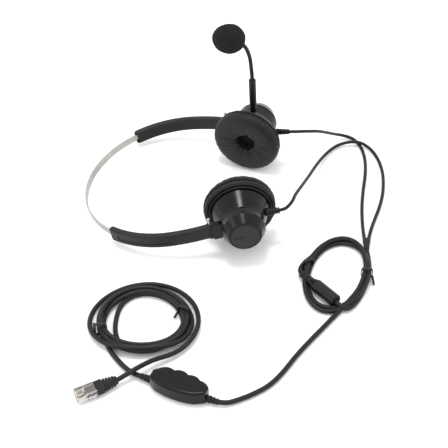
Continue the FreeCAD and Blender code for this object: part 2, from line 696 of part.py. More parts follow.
def make_connector():
    """Quick-disconnect: a socket half that takes the headset's cord and a plug half behind it."""
    socket = turned("qd_socket_body", [
        (0, 0), (4.2, 0), (5.2, 1.2), (5.2, 11), (4.2, 11), (4.2, 17.5), (3.4, 17.5), (3.4, 8), (0, 8),
    ])
    keep("qd_socket", socket, QD)
    plug = turned("qd_plug_body", [
        (0, 8.1), (3.35, 8.1), (3.35, 17.6), (4.2, 17.6), (4.2, 11.1), (5.2, 11.1), (5.2, 22.5),
        (3.3, 27.5), (3.3, 31), (2.4, 31), (2.4, 32.2), (3, 32.2), (3, 35.2), (2.3, 35.2),
        (2.3, 36.4), (2.7, 36.4), (2.7, 39.5), (0, 39.5),
    ])
    keep("qd_plug", plug, QD)


BOX = shift(-1, -213.7, dim("box_floor")) * turn(AXIS_Z, -23)
BOX_EDGE = [
    (-22, 3.2), (-18.5, 6.4, -9), (-7.5, 8.8, -9), (3.5, 8.8, -9), (13.5, 7.2, -9), (21.5, 3.4),
    (21.5, -3.6), (14, -7.6, -60), (-14, -7.6, -18), (-22, -3.2),
]


def make_control_box():
    """In-line control: two shells on a wavy outline, board, volume wheel and mute slider."""
    seam = dim("box_seam")
    tall = dim("box_height")
    whole = plate("box_solid", BOX_EDGE, "Dims.box_height", middle=False)
    rounded(whole, 2, lambda edge: edge.BoundBox.ZLength < 1e-6)
    lower_half = block("box_lower_half", 60, 40, seam, shift(0, 0, seam / 2))
    upper_half = block("box_upper_half", 60, 40, tall - seam + 2, shift(0, 0, (seam + tall + 2) / 2))
    again = plate("box_solid_again", BOX_EDGE, "Dims.box_height", middle=False)
    rounded(again, 2, lambda edge: edge.BoundBox.ZLength < 1e-6)
    hollow = block("box_hollow", 31, 11.5, 8.6, shift(0, 0, 6.1))
    hollow_again = block("box_hollow_again", 31, 11.5, 8.6, shift(0, 0, 6.1))
    ends = [rod(f"box_end_{i}", 3.05, 9, shift(x, 0, 3.1) * ALONG_X)
            for i, x in enumerate((-20, 20, -20, 20))]
    window = block("wheel_window", 8.2, 4, 5, shift(-7, 0, 1.6))
    slot = block("slider_slot", 11, 4.2, 5, shift(8, 0, 1.6))
    bottom = doc.addObject("Part::Common", "box_bottom")
    bottom.Base = whole
    bottom.Tool = lower_half
    top = doc.addObject("Part::Common", "box_top")
    top.Base = again
    top.Tool = upper_half
    lower = without("box_bottom_cut", bottom, [hollow, window, slot] + ends[:2])
    keep("control_bottom_shell", lower, BOX)
    upper = without("box_top_cut", top, [hollow_again] + ends[2:])
    keep("control_top_shell", upper, BOX)
    board = block("box_board", 30, 10.5, 1.2, UPRIGHT)
    keep("control_board", board, BOX * shift(-15, -5.25, 8))
    wheel = rod("wheel_disc", 3.7, 2.8, UPRIGHT)
    axle = rod("wheel_axle", 0.9, 6, UPRIGHT)
    knurls = [rod(f"knurl_{i}", 0.35, 4, turn(AXIS_Z, 15 * i) * shift(3.85, 0)) for i in range(24)]
    keep("volume_wheel", without("wheel_cut", joined("wheel_solid", [wheel, axle]), knurls),
         BOX * shift(-7, 0, 3.8) * turn(AXIS_X, 90))
    knob = block("slider_knob", 5, 3.4, 2.6, shift(0, 0, 1.5))
    grip = block("slider_grip", 1, 4, 1, shift(0, 0, 0))
    foot = block("slider_foot", 7, 6, 1.2, shift(0, 0, 3.2))
    keep("mute_slider", without("slider_cut", joined("slider_solid", [knob, foot]), [grip]),
         BOX * shift(8, 0, 0.6))
    left = ribbed("box_relief_left", 16, 22.3, 30.4, 3, 2.3, 3)
    left.Placement = turn(AXIS_Z, 180) * ALONG_X
    right = ribbed("box_relief_right", 16, 21.8, 30.2, 3, 2.3, 3)
    right.Placement = ALONG_X
    keep("control_reliefs", grouped("box_reliefs", [left, right]), BOX * shift(0, 0, 3.1))


PLUG = shift(-73.8, -222.1, dim("plug_floor")) * turn(AXIS_Z, 28.9)


def make_plug():
    """Six-position modular plug: clear body, gold contacts, sprung latch below and ribbed boot."""
    wide = dim("plug_width")
    tall = dim("plug_height")
    long = dim("plug_length")
    body = block("plug_block", long, wide, tall, shift(long / 2, 0, tall / 2))
    slots = [block(f"contact_slot_{i}", 4.6, 0.5, 3.2, shift(3, 1.02 * (i - 1.5), tall - 1.2))
             for i in range(4)]
    throat = block("plug_throat", 8.6, 6.2, 3.4, shift(long - 4, 0, tall / 2))
    keep("plug_body", without("plug_cut", body, slots + [throat]), PLUG)
    blades = [block(f"contact_{i}", 4.4, 0.4, 2.5, shift(3, 1.02 * (i - 1.5), tall - 1.45))
              for i in range(4)]
    keep("plug_contacts", grouped("contacts", blades), PLUG)
    root = block("latch_root", 12.6, 3.2, 0.8, shift(6.3, 0, 0))
    wedge = block("latch_wedge", 4, 6, 0.7, shift(3.6, 0, -0.1))
    keep("plug_latch", joined("latch", [root, wedge]),
         PLUG * shift(0.8, 0, -0.55) * turn(AXIS_Y, 4))
    sleeve = block("boot_sleeve", 6.4, 8.8, 6.2, shift(long + 3.25, 0, tall / 2))
    ribs = [
        block(f"boot_rib_{i}", 1.6, 7.8 - 0.5 * i, 5.8 - 0.3 * i, shift(long + 7.9 + 2.2 * i, 0, tall / 2))
        for i in range(4)
    ]
    core = rod("boot_core", 2.4, 9, shift(long + 10.5, 0, tall / 2) * ALONG_X)
    collar = rod("boot_collar", 3.2, 2.2, shift(long + 16, 0, tall / 2) * ALONG_X)
    tongue = block("boot_tongue", 7.4, 5.8, 3, shift(long - 3.4, 0, tall / 2))
    keep("plug_boot", joined("boot", [sleeve, core, collar, tongue] + ribs), PLUG)


def make_cords():
    branch = dim("branch_dia")
    main = dim("main_dia")
    tube("near_branch_cord", [relief_tip(NEAR), relief_tip(NEAR, 4.4)] + NEAR_ROUTE, branch, UPRIGHT)
    tube("far_branch_cord", [relief_tip(FAR), relief_tip(FAR, 6)] + FAR_ROUTE, branch, UPRIGHT)
    tube("middle_cord", MIDDLE_ROUTE, main, UPRIGHT)
    tube("box_lead", BOX_LEAD_ROUTE, main, UPRIGHT)
    tube("plug_lead", PLUG_LEAD_ROUTE, main, UPRIGHT)


# ---------------------------------------------------------------- the whole headset

make_headband()
for side in SIDES:
    make_arm(side)
    make_cup(side)
make_boom()
make_cords()
make_coils()
make_splitter()
make_connector()
make_control_box()
make_plug()

doc.recompute()
faults = [item.Label for item in doc.Objects if {"Invalid", "Error"} & set(item.State)]
faults += [item.Label for item in nodes if item.Shape.isNull() or not item.Shape.isValid()]
if faults:
    raise SystemExit(f"failed: {faults}")
os.makedirs("parts", exist_ok=True)
for item in nodes:
    item.Shape.exportStep(f"parts/{item.Label}.step")
print(len(nodes), "sub-parts")
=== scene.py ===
# %% [markdown]
# # An office headset on a table
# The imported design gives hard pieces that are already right. This lesson lights them, gives
# every surface a finish made of shader nodes, and replaces the soft pieces, which a design
# program draws as plain solids: the cord, the ear cushions, the foam and the twist ties.
# Everything is in metres, in the frame of the design, with +Z up from the table.
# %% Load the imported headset
import json

import bpy
import numpy as np
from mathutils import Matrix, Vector


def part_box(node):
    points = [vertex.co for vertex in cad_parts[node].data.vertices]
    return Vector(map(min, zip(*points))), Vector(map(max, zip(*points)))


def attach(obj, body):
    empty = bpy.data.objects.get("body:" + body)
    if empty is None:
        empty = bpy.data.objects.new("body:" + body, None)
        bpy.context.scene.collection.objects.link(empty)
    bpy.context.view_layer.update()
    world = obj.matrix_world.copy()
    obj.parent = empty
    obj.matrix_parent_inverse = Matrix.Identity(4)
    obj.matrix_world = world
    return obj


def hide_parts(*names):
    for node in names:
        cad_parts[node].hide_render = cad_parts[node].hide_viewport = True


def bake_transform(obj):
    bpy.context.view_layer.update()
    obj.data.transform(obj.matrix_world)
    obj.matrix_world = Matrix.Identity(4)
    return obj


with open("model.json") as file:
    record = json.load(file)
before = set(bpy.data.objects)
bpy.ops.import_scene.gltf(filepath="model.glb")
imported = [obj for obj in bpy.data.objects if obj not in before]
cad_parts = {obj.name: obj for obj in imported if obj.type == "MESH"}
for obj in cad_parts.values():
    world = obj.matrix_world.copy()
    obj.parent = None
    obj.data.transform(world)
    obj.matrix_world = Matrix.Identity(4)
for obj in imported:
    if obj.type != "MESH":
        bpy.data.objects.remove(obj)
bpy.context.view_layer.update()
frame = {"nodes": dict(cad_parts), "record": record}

MM = 0.001

# %% [markdown]
# The camera looks down on the table by 42 degrees from the headset's side, from nearly a
# metre away, with a long lens. A long lens from further off keeps the round cups round.
# %% Camera
scene = bpy.context.scene
scene.view_settings.view_transform = "Standard"
CAMERA_TARGET = np.array([0.0309, -0.0339, 0.0])
CAMERA_FROM = np.array([0.0, -0.6911, 0.6223])
CAMERA_ELEVATION = 42
lens = bpy.data.cameras.new("camera")
lens.lens = 89.4
lens.clip_start = 0.01
camera = bpy.data.objects.new("camera", lens)
camera.location = CAMERA_TARGET + CAMERA_FROM
camera.rotation_euler = (np.radians(90 - CAMERA_ELEVATION), 0, 0)
scene.collection.objects.link(camera)
scene.camera = camera

# %% [markdown]
# A headset cord is a limp, round thing of one length, so each piece of it is a NURBS curve with
# a round section. The curve passes near its control points without corners, which is how a cord
# lies. Its points are written in millimetres: where the cord leaves a part, where it meets the
# table, and where it turns.
# %% Cord curves
def smooth_curve(name, route, thickness):
    """Open NURBS curve near the points of a route; its section is a circle of that thickness.

    The bevel is one metre and the points' own radius scales it: 1 * thickness / 2.
    """
    data = bpy.data.curves.new(name, "CURVE")
    data.dimensions = "3D"
    spline = data.splines.new("NURBS")
    spline.points.add(len(route) - 1)
    points = np.ones((len(route), 4))
    points[:, :3] = np.array(route, float) * MM
    spline.points.foreach_set("co", points.ravel())
    spline.points.foreach_set("radius", np.full(len(route), thickness * MM / 2))
    spline.order_u = 3
    spline.use_endpoint_u = True
    spline.resolution_u = 12
    data.bevel_depth = 1.0 if thickness else 0.0
    data.bevel_resolution = 5
    data.use_fill_caps = True
    piece = bpy.data.objects.new(name, data)
    scene.collection.objects.link(piece)
    return piece


def centre_line(route):
    """Points along the smooth curve of a route, in metres."""
    guide = smooth_curve("guide", route, 0)
    mesh = bpy.data.meshes.new_from_object(guide)
    line = np.zeros(len(mesh.vertices) * 3)
    mesh.vertices.foreach_get("co", line)
    bpy.data.objects.remove(guide)
    bpy.data.meshes.remove(mesh)
    return line.reshape(-1, 3)


def travelled(line):
    """Distance along a line at each of its points: the running sum of its steps."""
    steps = np.linalg.norm(np.diff(line, axis=0), axis=1)
    return np.concatenate([[0], np.cumsum(steps)])


# %% [markdown]
# A bundle of cord is one cord that goes round and round. Here a turn is described by how far
# it passes from the middle at each quarter, and how high. Between quarters the reach changes
# evenly, so turns differ a little and lie beside and on each other, as hand-wound ones do.
# %% Wound cord
def wound(middle, lean, start, end, reach, height, per_turn=16):
    """Clockwise winding from one angle to another, in degrees, where 0 is the oval's far end.

    At angle q a point is middle + along * long(q) * cos(q) + across * short(q) * sin(q). The
    list of reaches gives long at 0 and 180 degrees and short at 90 and 270, quarter by quarter.
    """
    count = int(round((end - start) / 360 * per_turn)) + 1
    angle = np.linspace(start, end, count)
    quarters = 90 * (np.ceil(start / 90 - 1) + np.arange(len(reach)))
    reach = np.array(reach, float)
    is_long = np.isclose(quarters % 180, 0)
    long = np.interp(angle, quarters[is_long], reach[is_long])
    short = np.interp(angle, quarters[~is_long], reach[~is_long])
    up = np.interp(angle, quarters, height)
    along = np.array([np.sin(np.radians(lean)), np.cos(np.radians(lean))])
    across = np.array([along[1], -along[0]])
    turn = np.radians(angle)[:, None]
    flat = np.array(middle) + along * long[:, None] * np.cos(turn)
    flat = flat + across * short[:, None] * np.sin(turn)
    return [tuple(point) for point in np.column_stack([flat, up])]


# %% [markdown]
# The cord runs in five stretches. Each cup has a thin one that falls from its strain relief to
# the table and runs to the moulded Y. From there one thicker cord winds into the first bundle
# and ends in the connector; the next leaves the connector, winds on, and runs to the control
# box; the last goes through the second bundle to the plug.
# %% Routes of the cord
TABLE = 1.5
NEAR_ROUTE = [
    (75.4, -54.1, 33.2), (79.8, -53.5, 33.6), (84.4, -48.3, 34.6), (87.2, -42, 34.4),
    (88.8, -35, 32.6), (91.5, -27, 30), (95.5, -15.5, 26), (100, -2, 21), (105, 13, 15.5),
    (111, 31, 10), (117.5, 47, 5.5), (124.5, 60, 3), (132, 68.5, 2.5), (140, 72, 3.5),
    (147, 72, 4.8), (154, 71.5, 4.4), (160.5, 68.5, 2.2), (165.5, 60.5, TABLE),
    (169, 48, TABLE), (170.5, 33, TABLE), (169.5, 17, TABLE), (167, 1, TABLE),
    (162.5, -15, TABLE), (157, -30, TABLE), (152.3, -43.5, TABLE), (149.4, -55.5, 2),
]
FAR_ROUTE = [
    (86.8, 41, 39.7), (92.2, 38.9, 41.3), (98.5, 39.8, 41), (105.5, 42.5, 39), (112, 48, 35),
    (118.5, 56, 28), (124.5, 65, 20), (129.5, 73.5, 12.5), (134, 79.3, 7.4), (138.8, 82.6, 4),
    (144.6, 82.9, 2), (149.8, 79.4, TABLE), (154, 71, TABLE), (156.2, 59.5, TABLE),
    (156.5, 45.5, TABLE), (155, 30, TABLE), (152, 14, TABLE), (149.3, -2.5, TABLE),
    (147.3, -19, TABLE), (146.4, -34, TABLE), (146, -46, TABLE), (146.2, -55.5, 2),
]
FIRST_MIDDLE = (120, -96.2)
FIRST_LEAN = 17.5
SECOND_MIDDLE = (-30, -147.2)
TO_CONNECTOR_ROUTE = [
    (146.7, -66.5, 2), (147.5, -76, 1.9), (147.3, -86, 1.9), (145.8, -96, 1.9),
    (143, -106, 1.9), (139, -116, 1.9), (134.5, -124.5, 1.9), (129.5, -131.5, 2.2),
    (124.8, -134.8, 3.2), (120.6, -133.5, 4.6), (116.8, -129, 5.6),
]
FROM_CONNECTOR_ROUTE = [
    (92.8, -99.4, 5.6), (91.3, -96.8, 5.4), (91.3, -92.5, 4.6), (93, -87.4, 3.4), (95.8, -82, 2.4),
]
FROM_CONNECTOR_ROUTE += wound(
    FIRST_MIDDLE, FIRST_LEAN, 290, 1215,
    [25.3, 42.8, 22.2, 37.8, 22, 38.4, 25.7, 42.4, 24.2, 40.6, 22, 40.4],
    [2, 1.9, 1.9, 1.9, 1.9, 1.9, 5.6, 1.9, 5.4, 5.5, 5.4, 2.5],
)
FROM_CONNECTOR_ROUTE += [
    (119.5, -135.5, 2), (107, -151.5, 2), (94.5, -167, 2), (83, -182.5, 2), (73.5, -197.5, 2),
    (63.5, -209.5, 2), (50.5, -218, 2), (39, -223.4, 2.2), (32, -226.2, 2.9), (26, -225.2, 3.4),
]
TO_PLUG_ROUTE = [
    (-27.7, -202.4, 3.4), (-32, -200.3, 3), (-37.5, -196.3, 2.4), (-43, -190.5, 2),
    (-48, -184, 1.9), (-52.5, -177.5, 1.9),
]
TO_PLUG_ROUTE += wound(
    SECOND_MIDDLE, 0, 233, 2305,
    [33.4, 34.4, 34, 34, 29.8, 21, 30.4, 30.6, 33.2, 34.6, 34.2, 33.6, 29.7, 30.8, 30.2, 31,
     23.5, 32.4, 37.6, 37.4, 31.6, 42, 41.4, 42.4],
    [1.9, 1.9, 1.9, 1.9, 1.9, 1.9, 1.9, 1.9, 5.5, 5.5, 5.5, 5.5, 5.5, 2.4, 5.5, 5.5,
     2.2, 8.4, 1.9, 1.9, 8.6, 1.9, 1.9, 4],
)
TO_PLUG_ROUTE += [
    (-19.5, -188.1, 6.2), (-27, -194.1, 7.6), (-33.5, -198.9, 7.6), (-40, -203.3, 6.2),
    (-48, -208.4, 5.2),
]
for label, route in (
    ("near", NEAR_ROUTE), ("far", FAR_ROUTE), ("to connector", TO_CONNECTOR_ROUTE),
    ("from connector", FROM_CONNECTOR_ROUTE), ("to plug", TO_PLUG_ROUTE),
):
    print(label, len(route), "points,", round(travelled(centre_line(route))[-1], 4), "m")

# %% Three stretches of main cord
MAIN_CORD = 3.7
to_connector = smooth_curve("cord_to_connector", TO_CONNECTOR_ROUTE, MAIN_CORD)
from_connector = smooth_curve("cord_from_connector", FROM_CONNECTOR_ROUTE, MAIN_CORD)
to_plug = smooth_curve("cord_to_plug", TO_PLUG_ROUTE, MAIN_CORD)
for piece in (to_connector, from_connector, to_plug):
    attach(piece, "headband")
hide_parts("coil_1", "middle_cord")
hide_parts("coil_2", "box_lead", "plug_lead")

# %% [markdown]
# New surfaces are grids of points: rows follow one parameter and columns the other. The grid
# is worked out as whole arrays, and then joined into four-sided faces. A last test adds up the
# signed volume, because a face must point outwards.
# %% Surfaces from grids
def surface(name, grid, ring=False):
    """Mesh piece from a grid of points; each row closes on itself, and so do the rows of a ring.

    Point (row, column) is joined to the next column and the next row. An open end is closed by
    one face. The signed volume is the sum of a . (b x c) / 6 over the triangles.
    """
    rows, columns = grid.shape[:2]
    index = np.arange(rows * columns).reshape(rows, columns)
    first = index if ring else index[:-1]
    second = np.roll(index, -1, axis=0) if ring else index[1:]
    turned = np.roll(first, -1, axis=1)
    faces = np.stack([first, turned, np.roll(second, -1, axis=1), second], axis=-1)
    faces = faces.reshape(-1, 4).tolist()
    if not ring:
        faces += [index[0][::-1].tolist(), index[-1].tolist()]
    mesh = bpy.data.meshes.new(name)
    mesh.from_pydata(grid.reshape(-1, 3), [], faces)
    mesh.calc_loop_triangles()
    corners = np.zeros(len(mesh.loop_triangles) * 3, int)
    mesh.loop_triangles.foreach_get("vertices", corners)
    a, b, c = grid.reshape(-1, 3)[corners.reshape(-1, 3)].transpose(1, 0, 2)
    if np.einsum("ij,ij->i", a, np.cross(b, c)).sum() < 0:
        mesh.flip_normals()
    mesh.shade_smooth()
    piece = bpy.data.objects.new(name, mesh)
    scene.collection.objects.link(piece)
    return piece


def unit(vector):
    """Vectors scaled to length one."""
    vector = np.asarray(vector, float)
    return vector / np.linalg.norm(vector, axis=-1, keepdims=True)


def swept(line, section, hint):
    """Grid that carries a flat section along a line.

    side = direction x hint, up = side x direction, point = line + side * x + up * y. The
    section is one outline, or one for each point of the line.
    """
    line = np.asarray(line, float)
    direction = unit(np.gradient(line, axis=0))
    side = unit(np.cross(direction, hint))
    up = np.cross(side, direction)
    section = np.broadcast_to(section, (len(line),) + np.shape(section)[-2:])
    return line[:, None] + side[:, None] * section[..., :1] + up[:, None] * section[..., 1:]


def oval(width, height, power=2.0, count=20):
    """Outline |x / w| ** p + |y / h| ** p = 1: an ellipse at 2, a rounded rectangle above it."""
    angle = np.linspace(0, 2 * np.pi, count, endpoint=False)
    x = np.sign(np.cos(angle)) * np.abs(np.cos(angle)) ** (2 / power) * width / 2
    y = np.sign(np.sin(angle)) * np.abs(np.sin(angle)) ** (2 / power) * height / 2
    return np.column_stack([x, y]) * MM


# %% [markdown]
# The two thin cords cross joints: one end goes with its cup and the other stays on the table.
# Each is cut in two, where the cord has run a set distance from its cup.
# %% The two thin cords
THIN_CORD = 2.8
CUT = {"near": 0.040, "far": 0.046}
thin = {}
for side, route in (("near", NEAR_ROUTE), ("far", FAR_ROUTE)):
    line = centre_line(route)
    cut = int(np.searchsorted(travelled(line), CUT[side]))
    for part, stretch in (("upper", line[:cut + 1]), ("lower", line[cut:])):
        piece = surface(
            f"{side}_cord_{part}", swept(stretch, oval(THIN_CORD, THIN_CORD), (0, 0, 1))
        )
        thin[side, part] = piece, stretch
    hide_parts(f"{side}_branch_cord")
    print(side, "cut at", line[cut], "lengths", travelled(line[:cut + 1])[-1],
          travelled(line[cut:])[-1])
for side in ("near", "far"):
    piece, line = thin[side, "upper"]
    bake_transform(piece)
    piece, line = thin[side, "lower"]
    low = np.array(line[0])
    low[2] = 4 * MM
    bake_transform(piece)

# %% [markdown]
# The moulded Y is soft and flat where two cords go in side by side, and round where the one
# cord leaves. A row of outlines that changes from the one to the other makes it.
# %% Moulded Y
Y_MIDDLE = np.array([147.3, -60.9, 2.1])
Y_HEADING = np.radians(84)
ahead = np.array([np.cos(Y_HEADING), np.sin(Y_HEADING), 0])
stations = np.array([-6.6, -6.2, -5, -2, 1, 4, 5.6, 6.3, 6.5])
widths = [3.2, 4.3, 4.6, 4.9, 5.6, 6.3, 6.4, 6.0, 5.0]
heights = [3.2, 4.1, 4.2, 4.1, 3.9, 3.7, 3.6, 3.2, 2.6]
spine = (Y_MIDDLE + stations[:, None] * ahead) * MM
outlines = np.stack([oval(w, h, 2.8, 28) for w, h in zip(widths, heights)])
splitter = surface("moulded_y", swept(spine, outlines, (0, 0, 1)))
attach(splitter, "headband")
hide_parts("y_splitter")

# %% [markdown]
# A twist tie is a flat plastic strip with a wire in it: one loop round the bundle, and its two
# ends wound together into a tail. The loop is a flat section carried round a rounded rectangle;
# the tail is the same section, turned as it goes.
# %% Twist ties
TIE_WIDTH, TIE_THICK = 2.4, 0.45
LOOP_POINTS, TAIL_POINTS, TAIL_TURNS = 64, 70, 2.5


def placed(points, place, degrees):
    """Points in millimetres turned about the vertical and moved to a place, in metres."""
    angle = np.radians(degrees)
    turn = np.array([[np.cos(angle), np.sin(angle), 0], [-np.sin(angle), np.cos(angle), 0],
                     [0, 0, 1]])
    return (np.asarray(points, float) @ turn + np.array(place)) * MM


def tie_loop(width, height):
    """Closed band between two outlines |x / w| ** 4 + |z / h| ** 4 = 1, one thickness apart.

    A ring has its outline and its place across the strip; the swell is the wire inside.
    """
    inner = oval(width, height, 4, LOOP_POINTS) / MM
    outer = oval(width + 2 * TIE_THICK, height + 2 * TIE_THICK, 4, LOOP_POINTS) / MM
    rings = [(inner, -0.5), (outer, -0.5), (outer, -0.2), (outer, 0), (outer, 0.2),
             (outer, 0.5), (inner, 0.5)]
    swell = [0, 0, 0.15, 0.35, 0.15, 0, 0]
    grid = []
    for (outline, y), more in zip(rings, swell):
        shape = outline * (1 + more / 8)
        across = np.full(LOOP_POINTS, y * TIE_WIDTH)
        grid.append(np.column_stack([shape[:, 0], across, shape[:, 1] + height / 2 + TIE_THICK]))
    return np.stack(grid)


def tie_tail(start, end):
    """Twisted pair: a flat oval section that turns evenly from start to end."""
    start, end = np.array(start, float), np.array(end, float)
    part = np.linspace(0, 1, TAIL_POINTS)[:, None]
    line = start + (end - start) * part
    twist = 2 * np.pi * TAIL_TURNS * part
    flat = oval(2.3, 0.95, 3, 20) / MM
    section = np.stack([
        flat[:, 0] * np.cos(twist) - flat[:, 1] * np.sin(twist),
        flat[:, 0] * np.sin(twist) + flat[:, 1] * np.cos(twist),
    ], axis=-1)
    return swept(line, section, (0, 0, 1))


# Name, place, angle, inner width and height, and the two ends of the tail.
TIES = [
    ("tie_a", (98, -86.5, 0), 20, 8.4, 8.4, (-4.6, -1, 2.5), (-10.5, -8.5, 1.4)),
    ("tie_b", (144, -96.5, 0), -8, 8.2, 8.4, (4.3, -1, 2.5), (6, -9.5, 1.4)),
    ("tie_c", (-61.5, -158, 0), 8, 8.6, 10.8, (-4.6, 0.5, 3), (-5, 10.5, 1.6)),
    ("tie_d", (0.5, -138.5, 0), -20, 9.6, 8.8, (-5, -0.5, 3.4), (-5.6, -7, 2.4)),
]
ties = []
for name, place, degrees, width, height, start, end in TIES:
    loop = surface(name, placed(tie_loop(width, height), place, degrees), ring=True)
    tail = surface(name + "_tail", placed(tie_tail(start, end), place, degrees))
    ties += [loop, tail]
for piece in ties:
    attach(piece, "headband")
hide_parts("twist_ties")

# %% [markdown]
# The ear cushions turn with their cups, so each is made in its cup's own frame: out along the
# cup's axis, and towards its strain relief. Both are read from the hard parts: the flattest
# direction of the round scrim is the axis, and the driver lies further out than the scrim.
# %% Frames of the cups
SCRIM_BEHIND_RIM = 3.6


def corners(node):
    """All vertices of a design part, in metres."""
    mesh = frame["nodes"][node].data
    points = np.zeros(len(mesh.vertices) * 3)
    mesh.vertices.foreach_get("co", points)
    return points.reshape(-1, 3)


def middle(node):
    """Centre of a design part's box, in metres."""
    return (np.array(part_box(node)[0]) + np.array(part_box(node)[1])) / 2


class Cup:
    """Origin on the widest plane of the cushion, out = away from the head, fore = to the cord."""

    def __init__(self, side):
        self.side = side
        scrim = corners(f"{side}_scrim")
        centre = scrim.min(axis=0) / 2 + scrim.max(axis=0) / 2
        out = np.linalg.svd(scrim - centre, full_matrices=False)[2][2]
        if out @ (middle(f"{side}_driver") - centre) < 0:
            out = -out
        self.out = out
        self.origin = centre - SCRIM_BEHIND_RIM * MM * out
        fore = middle(f"{side}_strain_relief") - self.origin
        self.fore = unit(fore - (fore @ out) * out)
        self.across = np.cross(out, self.fore)

    def points(self, radius, turn, out):
        """Points at a radius, a turn from the cord, and a distance out, in millimetres."""
        flat = np.cos(turn)[..., None] * self.fore + np.sin(turn)[..., None] * self.across
        spot = radius[..., None] * flat + out[..., None] * self.out
        return self.origin + spot * MM


CUPS = {side: Cup(side) for side in ("far", "near")}
for cup in CUPS.values():
    print(cup.side, "cup at", cup.origin.round(4), "out", cup.out.round(3))

# %% [markdown]
# The cushion is a leatherette bag drawn over a foam ring: a nearly flat face gathered towards
# a small hole, a line of gathering stitches on the side of its rim, a groove, a bead, and a fold
# that goes in behind. It is one outline turned round, with creases, stitches and puckers added
# as distances along its normal. A cloth simulation would lose folds this fine.
# %% Cushions
OUTLINE = [
    (7.2, 3.3), (6.9, 0.5), (7.3, -2.6), (9, -4.5), (12.5, -5.4), (18, -5.7), (23.5, -5.5),
    (26.8, -4.6), (28.8, -2.8), (29.5, -0.6), (29.3, 1.2), (28.2, 2.3), (29, 3.4), (28.9, 5),
    (27.2, 6.3), (25.9, 6.5), (25.3, 7.7), (24.2, 7.6), (24.5, 6.5), (25.9, 5.2), (26, 3.7),
    (20, 3.5), (12, 3.4),
]
# Places along the outline, counted in its points.
FACE_START, RIM_PLACE = 1, 8.4
STITCH_PLACE, GROOVE_PLACE, BEAD_PLACE, FOLD_PLACE = 9.6, 11, 12.8, 15
OUTLINE_ROWS, OUTLINE_TURNS = 128, 720
CREASES, PUCKERS, STITCHES = 80, 90, 90
CREASE_ROOT = 9


def loop_through(points, count):
    """Closed smooth line through points: each span is the cubic of its four nearest points.

    Catmull-Rom: p = (2 b + (c - a) t + (2 a - 5 b + 4 c - d) t^2 + (3 b - a - 3 c + d) t^3) / 2
    """
    points = np.array(points, float)
    place = np.linspace(0, len(points), count, endpoint=False)
    span = place.astype(int)
    t = (place - span)[:, None]
    a, b, c, d = (points[(span + k) % len(points)] for k in (-1, 0, 1, 2))
    return (2 * b + (c - a) * t + (2 * a - 5 * b + 4 * c - d) * t ** 2
            + (3 * b - a - 3 * c + d) * t ** 3) / 2


def bump_near(value, centre, width):
    """Bell curve: exp(-((value - centre) / width) ** 2)."""
    return np.exp(-((value - centre) / width) ** 2)


def apart(turn, other):
    """Smallest angle between two turns, from -pi to pi."""
    return (turn - other + np.pi) % (2 * np.pi) - np.pi


def cushion(cup, seed):
    """Turned outline with radial creases, stitches and puckers along its normal."""
    chance = np.random.default_rng(seed)
    outline = loop_through(OUTLINE, OUTLINE_ROWS)
    radius, out = outline.T
    along = np.arange(OUTLINE_ROWS) / OUTLINE_ROWS * len(OUTLINE)
    edge = np.roll(outline, -1, axis=0) - np.roll(outline, 1, axis=0)
    normal = unit(np.column_stack([edge[:, 1], -edge[:, 0]]))
    if normal[np.argmin(out)] @ (0, -1) < 0:
        normal = -normal
    turn = np.linspace(0, 2 * np.pi, OUTLINE_TURNS, endpoint=False)
    rise = np.zeros((OUTLINE_ROWS, OUTLINE_TURNS))
    face = (along > FACE_START) & (along < RIM_PLACE)
    for _ in range(CREASES):
        angle = chance.uniform(0, 2 * np.pi)
        bend = chance.uniform(-0.006, 0.006)
        width = chance.uniform(0.35, 0.8)
        reach = chance.uniform(5, 16)
        depth = chance.uniform(0.12, 0.42)
        path = angle + bend * (radius[:, None] - CREASE_ROOT)
        gap = apart(turn[None], path) * radius[:, None]
        fade = depth * np.exp(-((radius - CREASE_ROOT).clip(0) / reach) ** 2) * face
        rise -= np.exp(-(gap / width) ** 2) * fade[:, None]
    for _ in range(PUCKERS):
        angle = chance.uniform(0, 2 * np.pi)
        width = chance.uniform(0.5, 1)
        gap = apart(turn[None], angle) * radius[:, None]
        depth = chance.uniform(0.1, 0.32)
        outer = depth * bump_near(along, RIM_PLACE, chance.uniform(0.7, 1.5))
        rise -= np.exp(-(gap / width) ** 2) * outer[:, None]
    stitch = np.cos(turn * STITCHES)[None]
    rise -= 1.0 * bump_near(along, STITCH_PLACE, 0.4)[:, None] * stitch.clip(0)
    rise -= 0.12 * bump_near(along, STITCH_PLACE, 0.9)[:, None] * stitch
    rise -= 1.0 * bump_near(along, GROOVE_PLACE, 0.3)[:, None]
    waves = sum(np.sin(turn * n + chance.uniform(0, 6.28)) / n for n in (19, 31, 43, 57, 71))
    rise += 1.6 * waves[None] * bump_near(along, BEAD_PLACE, 0.9)[:, None]
    rise -= 0.5 * bump_near(along, FOLD_PLACE, 0.3)[:, None]
    slow = sum(np.sin(turn * n + chance.uniform(0, 6.28)) / n for n in (2, 3, 5))
    rise += 0.14 * slow[None] * face[:, None]
    radius = radius[:, None] + normal[:, :1] * rise
    out = out[:, None] + normal[:, 1:] * rise
    grid = cup.points(radius, np.broadcast_to(turn, radius.shape), out)
    piece = surface(f"{cup.side}_ear_cushion", grid, ring=True)
    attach(piece, f"{cup.side}_cup")
    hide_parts(f"{cup.side}_cushion")
    return piece


cushions = [cushion(CUPS["far"], 3), cushion(CUPS["near"], 8)]

# %% [markdown]
# Behind the hole a round of thin acoustic cloth is glued over the driver. It is a shallow dome
# with a little thickness.
# %% Scrims
SCRIM_RADIUS, SCRIM_RISE, SCRIM_THICK, SCRIM_OUT = 12, 0.35, 0.2, 3.46
SCRIM_RINGS, SCRIM_TURNS = 20, 64


